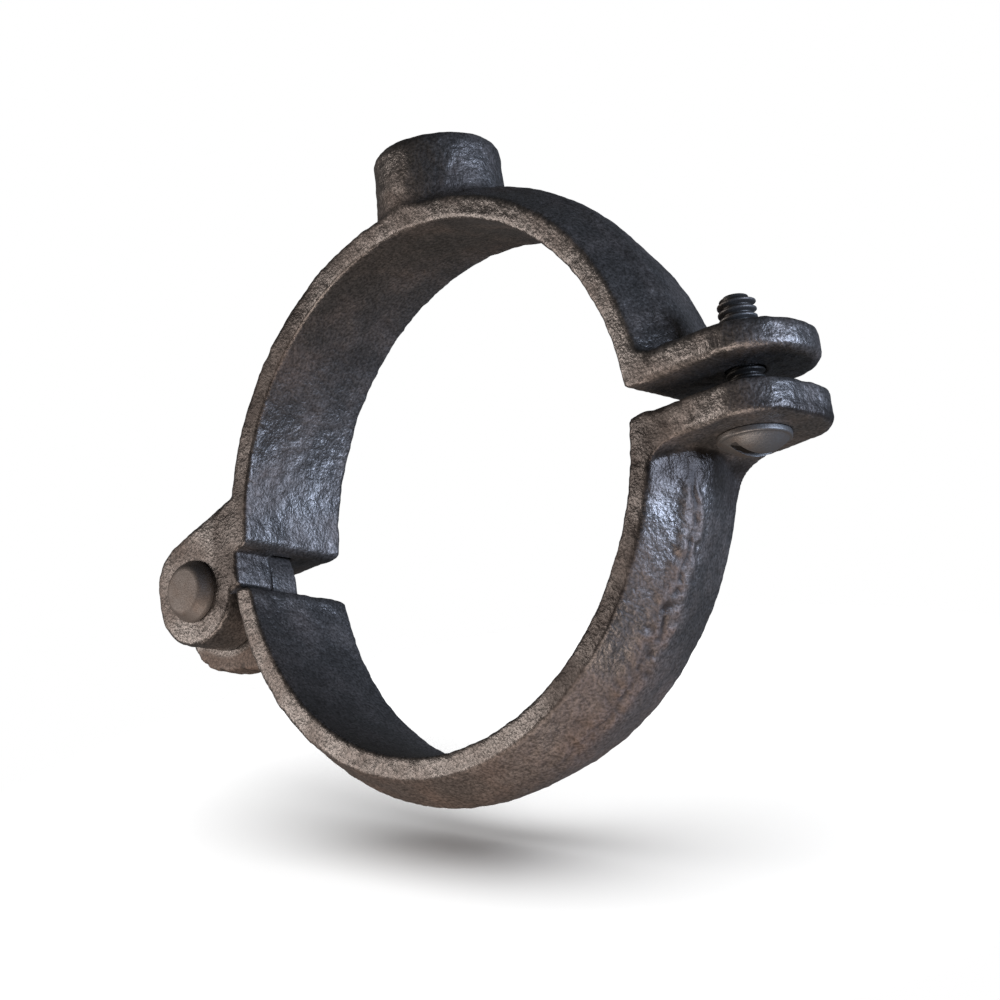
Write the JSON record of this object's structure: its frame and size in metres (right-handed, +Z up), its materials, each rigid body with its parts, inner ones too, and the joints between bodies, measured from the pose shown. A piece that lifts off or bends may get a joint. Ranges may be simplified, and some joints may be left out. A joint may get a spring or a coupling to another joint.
{
  "type": "hinged split ring pipe hanger",
  "caption": "Hinged split ring pipe hanger in cast iron: a ring in two halves with a rod boss on top, a riveted hinge on one side and a slotted clamping screw through two ears on the other.",
  "frame": {"origin": "centre of the mouth of the rod hole, on top of the boss; the ring hangs below it", "axes": "+X from the hinge towards the clamping screw, +Y along the pipe, +Z up along the rod"},
  "size_m": [0.142, 0.0256, 0.114],
  "materials": {
    "upper_casting": "bare sand casting, fine grain",
    "lower_casting": "bare sand casting, fine grain",
    "rivet_steel": "dull bare steel, tumbled",
    "screw_steel": "dull bare steel, tumbled"
  },
  "bodies": {
    "upper": {"upper_half": "upper_casting", "hinge_rivet": "rivet_steel"},
    "lower": {"lower_half": "lower_casting"},
    "screw": {"clamp_screw": "screw_steel"}
  },
  "joints": [
    {"name": "ring_hinge", "type": "hinge", "parent": "upper", "child": "lower", "pos_m": [-0.0586, 0, -0.0641], "axis": [0, 1, 0], "range_deg": [-1.9, 147]},
    {"name": "screw_turn", "type": "hinge", "parent": "lower", "child": "screw", "pos_m": [0.0601, 0, -0.0694], "axis": [0, 0, 1], "continuous": true}
  ]
}
